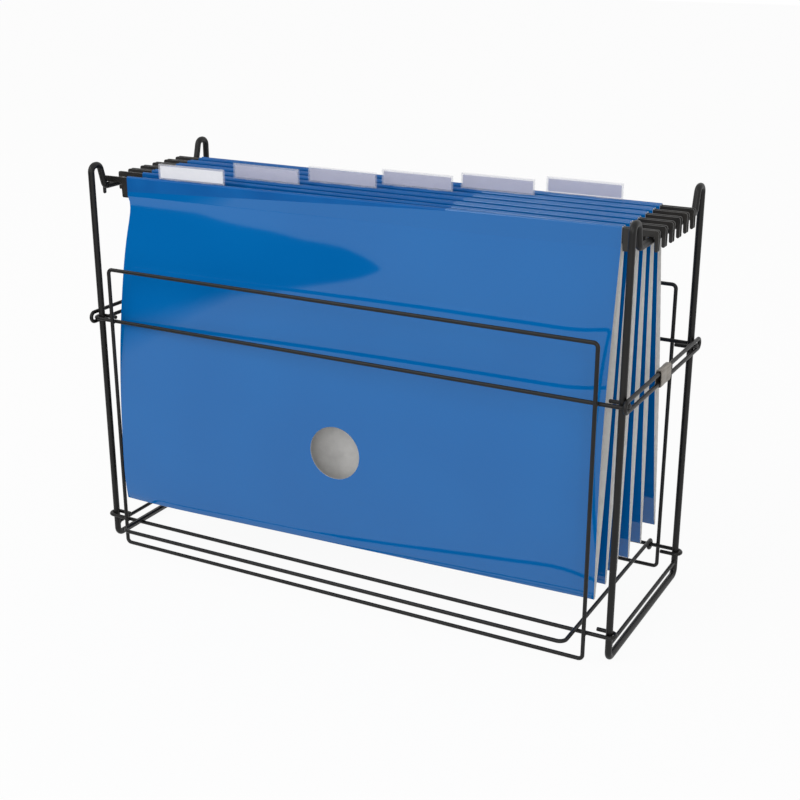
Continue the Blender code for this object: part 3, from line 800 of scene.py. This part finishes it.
def folder_sheet(index):
    """Both skins and rims of one folder. The normal is the cross product of small steps along and across."""
    skewed = index == 0
    line = folded_line(lean_y[index])
    flat, quads, outer, hole = holed_sheet(line, FIRST_COLUMNS if skewed else COLUMNS)
    x, v = flat.T

    def moved(dx, dv):
        at_v = np.clip(v + dv, 0.0, line[2][-1])
        return sheet_place(x + dx, at_v, line, skewed, WAVE if skewed else CALM)

    along = moved(0.0, STEP_V) - moved(0.0, -STEP_V)
    across = moved(STEP_X, 0.0) - moved(-STEP_X, 0.0)
    normal = unit(np.cross(along, across))
    here = moved(0.0, 0.0) + (0.0, row_y[index], 0.0)
    points = np.concatenate([here + normal * CARD / 2, here - normal * CARD / 2])
    count = len(here)
    rims = np.concatenate([rim_quads(outer, count), rim_quads(hole, count)])
    faces = np.concatenate([quads, quads[:, ::-1] + count, rims])
    centre = here[quads].mean(axis=1)
    # Faces in the wedge take the darker, duller sleeve finish, which is painted shade.
    edge = CROWN - (CROWN - SHADE_FROM) * shade_share(centre[:, 0])
    outside = np.where((centre[:, 2] > edge) & (centre[:, 0] < SHADE_END), SHADED_SLEEVE, BLUE)
    return points, faces.tolist(), np.concatenate([outside, np.full(len(quads) + len(rims), PALE)])


# The third look is the sleeve finish in painted shade.
looks = [blue_sheet, pale_lining, painted_shade_sleeve]
for index in range(FOLDERS):
    points, faces, look = folder_sheet(index)
    name = f"folder_{index + 1}"
    add_piece(f"{name}_sheet", points, faces, looks, name, f"{name}_card", look)

# %% [markdown]
# ### Hangers
# A flat moulded bar runs through each sleeve and ends in a hook at both ends. At every place along its length
# the bar is one upright strip from a lower to an upper edge, so two broken lines give its whole shape.

# %% Hangers
ROOF = RAIL_Z + 2.217 + 0.3  # the flat top of the rail's solid, and a little air
BAR_TOP = ROOF + 4.0
BAR_LOW = BAR_TOP - 9.8
LEG_IN, NOTCH_IN, NOTCH_OUT, TIP_OUT = 183.4, 188.6, 203.0, 205.2
LEG_LOW, TIP_LOW = ROOF - 10.5, ROOF - 9.2
DRAFT = 0.35
OUTER_BEND, FOOT_BEND, TIP_HALF = 1.6, 1.0, 1.1
OUTER_STEPS, FOOT_STEPS = 6, 5
EASE_X, EASE_Z = 0.7, 0.6  # the eased inner corner of the hook
SLOT_HALF, SLOT_SIDE, SLOT_DEEP = 4.8, 0.1, 3.6  # slots in the upper edge, for the tongues of a tab


def hook_edges():
    """Upper and lower edge of the right half as rows of (x, z). Steps lean by the draft, corners are arcs."""
    a = np.radians(np.linspace(90.0, 0.0, OUTER_STEPS))
    b = np.radians(np.linspace(0.0, 90.0, FOOT_STEPS))
    corner_x = TIP_OUT - OUTER_BEND + OUTER_BEND * np.cos(a)
    corner_z = BAR_TOP - OUTER_BEND + OUTER_BEND * np.sin(a)
    foot_x = NOTCH_IN - DRAFT - FOOT_BEND + FOOT_BEND * np.sin(b)
    foot_z = LEG_LOW + FOOT_BEND - FOOT_BEND * np.cos(b)
    tip_x = (NOTCH_OUT + TIP_OUT) / 2 - TIP_HALF * np.cos(2 * b)
    tip_z = TIP_LOW + FOOT_BEND - FOOT_BEND * np.sin(2 * b)
    upper = np.concatenate([[(0.0, BAR_TOP)], np.stack([corner_x, corner_z], -1)])
    lower = np.concatenate([
        [(0.0, BAR_LOW), (LEG_IN - DRAFT, BAR_LOW), (LEG_IN, LEG_LOW)],
        np.stack([foot_x, foot_z], -1),
        [(NOTCH_IN, ROOF - EASE_Z), (NOTCH_IN + EASE_X, ROOF), (NOTCH_OUT - DRAFT, ROOF)],
        np.stack([tip_x, tip_z], -1),
    ])
    return upper, lower


def hanger_strip(slots):
    """Columns at every corner of either edge, mirrored to the left.

    Each column has a front and a rear pair of points. A slot lowers the upper edge.
    """
    upper, lower = hook_edges()
    x = np.unique(np.round(np.concatenate([upper[:, 0], lower[:, 0]]), 4))
    x = np.unique(np.concatenate([-x, x]))
    for slot in slots:
        sides = [-SLOT_HALF - SLOT_SIDE, -SLOT_HALF, SLOT_HALF, SLOT_HALF + SLOT_SIDE]
        x = np.union1d(x, slot + np.array(sides))
    high = np.interp(np.abs(x), upper[:, 0], upper[:, 1])
    low = np.interp(np.abs(x), lower[:, 0], lower[:, 1])
    for slot in slots:
        high = np.where(np.abs(x - slot) <= SLOT_HALF + TINY, BAR_TOP - SLOT_DEEP, high)
    half = np.full_like(x, BAR / 2)
    ring = [(x, -half, low), (x, half, low), (x, half, high), (x, -half, high)]
    points = np.stack([np.stack(side, -1) for side in ring], 1)
    faces = grid_faces(len(x), len(ring), wrap_columns=True)
    last = len(ring) * (len(x) - 1)
    faces += [[3, 2, 1, 0], [last, last + 1, last + 2, last + 3]]
    return points.reshape(-1, 3), faces


def turned(points, index):
    """The first folder's front hanger is turned about the right end of its card, as its leaf stands askew."""
    if index:
        return points
    angle = np.arctan2(SKEW_TOP, 2 * CARD_HALF)
    c, s = np.cos(angle), np.sin(angle)
    spin = np.array([[c, -s, 0.0], [s, c, 0.0], [0.0, 0.0, 1.0]])
    pivot = np.array([CARD_HALF, 0.0, 0.0])
    return (points - pivot) @ spin.T + pivot


# %% Hanger pieces
TONGUE_GAP = 13.0  # from the middle of a tab to each of its tongues
EASED, EASED_STEPS, EASED_ANGLE, SLIVER = 0.22, 2, 50.0, 0.004
tab_x = np.array([-0.3530, -0.2306, -0.0854, 0.0534, 0.1999, 0.3552]) * 2 * CARD_HALF
for index in range(FOLDERS):
    name = f"folder_{index + 1}"
    for place, s in PLACES:
        points, faces = hanger_strip([tab_x[index] + h * TONGUE_GAP for h in (-1, 1)] if s < 0 else [])
        points = turned(points, index) if s < 0 else points
        points = points + (0.0, row_y[index] + s * SPREAD, 0.0)
        node = f"{name}_{place}_hanger"
        made = add_piece(f"{name}_{place}_bar", points, faces, [black_abs], name, node)
        edge = made.modifiers.new("eased edges", "BEVEL")
        edge.width = EASED * MM
        edge.segments = EASED_STEPS
        edge.limit_method = "ANGLE"
        edge.angle_limit = float(np.radians(EASED_ANGLE))
        made.modifiers.new("no slivers", "WELD").merge_threshold = SLIVER * MM

# %% [markdown]
# ### Tabs and labels
# A tab is a strip of film folded over at the top, with two tongues through the sheet and a paper slip inside.

# %% Tabs and labels
TAB_HALF, TAB_FOOT, TAB_TOP = 27.0, FOLDER_TOP + 0.3, FOLDER_TOP + 11.1
TAB_WALL, TAB_POCKET, TAB_COLUMNS, TAB_STEPS = 0.4, 0.9, 9, 11
TAB_Y = (TAB_POCKET + TAB_WALL) / 2  # the middle of the pocket, behind the front wall
TONGUE_HALF, TONGUE_FOOT, TONGUE_LAP = 4.5, BAR_TOP - 3.3, 0.05
SLIP_HALF, SLIP_FOOT, SLIP_TOP = 25.8, TAB_FOOT + 0.9, TAB_TOP - 1.6
SLIP_THICK, SLIP_BOW, SLIP_COLUMNS, SLIP_ROWS = 0.2, 0.1, 25, 5


def folded_strip():
    """Outline of the folded film in (y, z): up the outside, round the top in a half circle, and down.

    It then goes back up inside at the wall's distance, round the smaller half circle, and down.
    """
    inner = TAB_POCKET / 2
    outer = inner + TAB_WALL
    bend = TAB_TOP - outer
    a = np.linspace(np.pi, 0.0, TAB_STEPS)
    out = np.stack([TAB_Y + outer * np.cos(a), bend + outer * np.sin(a)], -1)
    back = np.stack([TAB_Y + inner * np.cos(a), bend + inner * np.sin(a)], -1)[::-1]
    return np.concatenate([
        [(TAB_Y - outer, TAB_FOOT)], out, [(TAB_Y + outer, TAB_FOOT), (TAB_Y + inner, TAB_FOOT)], back,
        [(TAB_Y - inner, TAB_FOOT)],
    ])


def box_skin(low, high):
    """The eight corners of a box, and its six faces turned outwards."""
    corner = np.array([[i, j, k] for i in (0, 1) for j in (0, 1) for k in (0, 1)])
    faces = [[0, 1, 3, 2], [4, 6, 7, 5], [0, 4, 5, 1], [2, 3, 7, 6], [0, 2, 6, 4], [1, 5, 7, 3]]
    return np.asarray(low) + corner * (np.asarray(high) - np.asarray(low)), faces


def tab_skin():
    """The folded outline carried across, with its two U-shaped ends, and two tongues under the front wall."""
    line = folded_strip()
    n = len(line)
    x = np.linspace(-TAB_HALF, TAB_HALF, TAB_COLUMNS)
    skin = np.column_stack([np.repeat(x, n), np.tile(line, (TAB_COLUMNS, 1))])
    faces = [face[::-1] for face in grid_faces(TAB_COLUMNS, n, wrap_columns=True)]
    last = (TAB_COLUMNS - 1) * n
    faces += [list(range(n)), list(range(last, last + n))[::-1]]
    for s in (-1, 1):
        low = (s * TONGUE_GAP - TONGUE_HALF, -TAB_WALL / 2, TONGUE_FOOT)
        high = (s * TONGUE_GAP + TONGUE_HALF, TAB_WALL / 2, TAB_FOOT + TONGUE_LAP)
        corners, sides = box_skin(low, high)
        faces += [[c + len(skin) for c in side] for side in sides]
        skin = np.concatenate([skin, corners])
    return skin, faces


def slip_skin():
    """A slip of paper as a grid across and up, with two skins, bowed by a parabola across it."""
    across = np.linspace(-SLIP_HALF, SLIP_HALF, SLIP_COLUMNS)
    x, z = np.meshgrid(across, np.linspace(SLIP_FOOT, SLIP_TOP, SLIP_ROWS), indexing="ij")
    y = TAB_Y + SLIP_BOW * (1 - (x / SLIP_HALF) ** 2)
    rear = np.stack([x, y + SLIP_THICK / 2, z], -1).reshape(-1, 3)
    front = rear - (0.0, SLIP_THICK, 0.0)
    count = len(rear)
    loop = rim_of(np.arange(count).reshape(SLIP_COLUMNS, SLIP_ROWS))
    quads = np.array(grid_faces(SLIP_COLUMNS, SLIP_ROWS))
    faces = np.concatenate([quads, quads[:, ::-1] + count, rim_quads(loop, count)])
    return np.concatenate([rear, front]), faces.tolist()


# %% Tab and label pieces
for index in range(FOLDERS):
    name = f"folder_{index + 1}"
    # The tabs behind the first take the darker lilac paper, which is painted shade.
    paper = shaded_lilac_paper if index else white_paper
    kinds = (("film", "tab", clear_film, tab_skin), ("slip", "label", paper, slip_skin))
    for piece, slot, look, skin in kinds:
        points, faces = skin()
        points = turned(points + (tab_x[index], 0.0, 0.0), index) + (0.0, row_y[index] - SPREAD, 0.0)
        add_piece(f"{name}_{piece}", points, faces, [look], name, f"{name}_{slot}")
print("tabs at x =", np.round(tab_x, 1).tolist())

# %% [markdown]
# ## Floor and light
# A pale floor runs into a white room. To the camera and in reflections the room is white. The light that
# falls on the rack is softer, from one large lamp at the upper left, a fill from the right and the room.

# %% Floor
FLOOR_HALF, FLOOR_DROP = 6.0, 0.3 * MM
SEEN_WHITE = 0.94  # how much of the floor's look is plain white; the rest keeps the rack's shadow


def seen_or_mirrored(tree):
    """1 for a ray from the camera, through clear film or off a glossy skin, and 0 for falling light."""
    path = add(tree, "ShaderNodeLightPath", {}).outputs
    either = {0: path["Is Camera Ray"], 1: path["Is Transmission Ray"]}
    through = add(tree, "ShaderNodeMath", either, operation="MAXIMUM").outputs["Value"]
    either = {0: through, 1: path["Is Glossy Ray"]}
    return add(tree, "ShaderNodeMath", either, operation="MAXIMUM").outputs["Value"]


floor_mesh = bpy.data.meshes.new("floor")
corners = [(x * FLOOR_HALF, y * FLOOR_HALF, -FLOOR_DROP) for x, y in ((-1, -1), (1, -1), (1, 1), (-1, 1))]
floor_mesh.from_pydata(corners, [], [(0, 1, 2, 3)])
floor = put_in_scene("floor", floor_mesh)
pale_floor, tree, shader = new_finish("pale_floor")
feed(tree, shader, {"Base Color": linear("#F2F2F2"), "Roughness": 0.9})
seen = add(tree, "ShaderNodeMath", {0: seen_or_mirrored(tree), 1: SEEN_WHITE}, operation="MULTIPLY")
white = add(tree, "ShaderNodeEmission", {"Color": (1.0, 1.0, 1.0, 1.0), "Strength": 1.0})
both = add(tree, "ShaderNodeMixShader", {
    0: seen.outputs["Value"],
    1: shader.outputs["BSDF"],
    2: white.outputs["Emission"],
})
feed(tree, tree.nodes["Material Output"], {"Surface": both.outputs["Shader"]})
floor_mesh.materials.append(pale_floor)

# %% World
ROOM_LIGHT = 0.55
world = bpy.data.worlds.new("white_room")
bpy.context.scene.world = world
world.use_nodes = True
tree = world.node_tree
strength = between(tree, seen_or_mirrored(tree), ROOM_LIGHT, 1.0)
feed(tree, tree.nodes["Background"], {"Color": (1.0, 1.0, 1.0, 1.0), "Strength": strength})
print("room light:", ROOM_LIGHT)

# %% Lamps
LAMP_AIM = np.array([0.0, 0.0, 0.12])


def soft_lamp(name, at, size, watts):
    """A square lamp that looks at the rack. Its axis is the unit vector back from there to the lamp."""
    data = bpy.data.lights.new(name, "AREA")
    data.shape = "SQUARE"
    data.size = size
    data.energy = watts
    made = put_in_scene(name, data)
    back = unit(np.array(at) - LAMP_AIM)
    side = unit(np.cross([0.0, 0.0, 1.0], back))
    made.matrix_world = standing(side, np.cross(back, side), back, at)
    print(f"{name} lamp: {watts} W, {size} m wide")


soft_lamp("key", (-1.1, -1.5, 1.7), 1.2, 16.0)
soft_lamp("fill", (0.85, -1.65, 0.85), 0.9, 8.0)
bpy.context.scene.view_settings.view_transform = "Standard"

# %% [markdown]
# ### A black flag
# Photographers hang black cards, called flags, to take a reflection out. One stands to the left of the
# camera, and only mirrors see it: it leaves the upper left of the first folder without the pale veil, in its
# own deep blue. Gauze along its lower side, wider away from its tip, lets the reflection fade out there.

# %% Flag
FLAG_AT = np.array([-0.455, -0.890, 0.0]) * 450.0
FLAG_ALONG = np.array([0.890, -0.455, 0.0])
FLAG_TIP, FLAG_HEIGHT, FLAG_LENGTH = 66.0, 283.0, 420.0
FLAG_LONG, FLAG_WIDE = 33, 17  # rows and columns of its grid
FLAG_FIRST = 0.002  # the share at which its rows start, so that the tip is not a point
FLAG_RISE, FLAG_RISE_OVER = 23.0, 22.0
FLAG_FALL, FLAG_POWER = 2.9, 0.65
FLAG_FLARE, FLAG_FLARE_FROM = 0.8, 130.0
GAUZE_TIP, GAUZE_MORE, GAUZE_FROM, GAUZE_TO = 0.08, 0.26, 90.0, 210.0


def pointed_card():
    """A grid from the upper to the lower edge, and how black each of its points is.

    At a distance s from the tip the upper edge is rise (1 - exp(-s / over)) above it. The lower edge is fall
    times s to a power below it, with the flare for each millimetre past its start. The black share falls to
    nothing at the lower edge, over the width of the gauze.
    """
    s = (np.linspace(FLAG_FIRST, 1.0, FLAG_LONG) ** 2 * FLAG_LENGTH)[:, None]
    share = np.linspace(0.0, 1.0, FLAG_WIDE)
    above = FLAG_RISE * (1.0 - np.exp(-s / FLAG_RISE_OVER))
    below = FLAG_FALL * s**FLAG_POWER + FLAG_FLARE * np.maximum(s - FLAG_FLARE_FROM, 0.0)
    height = FLAG_HEIGHT + above - share * (above + below)
    gauze = GAUZE_TIP + GAUZE_MORE * ramp(s, GAUZE_FROM, GAUZE_TO)
    black = np.clip((1.0 - share) / gauze, 0.0, 1.0)
    points = FLAG_AT + (FLAG_TIP - s)[..., None] * FLAG_ALONG + height[..., None] * (0.0, 0.0, 1.0)
    return points.reshape(-1, 3) + (0.0, SHIFT, 0.0), black.ravel()


flag_points, flag_black = pointed_card()
flag_mesh = bpy.data.meshes.new("flag")
flag_mesh.from_pydata((flag_points * MM).tolist(), [], grid_faces(FLAG_LONG, FLAG_WIDE))
flag_mesh.attributes.new("weave", "FLOAT", "POINT").data.foreach_set("value", flag_black)
flag = put_in_scene("flag", flag_mesh)
flag.visible_camera = False
flag.visible_diffuse = False
flag.visible_transmission = False
flag.visible_shadow = False
black_card, tree, shader = new_finish("black_card")
threads = add(tree, "ShaderNodeAttribute", {}, attribute_name="weave")
feed(tree, shader, {
    "Base Color": linear("#050505"),
    "Roughness": 1.0,
    "Specular IOR Level": 0.0,
    "Alpha": threads.outputs["Fac"],
})
flag_mesh.materials.append(black_card)
print("flag:", len(flag_points), "corners")
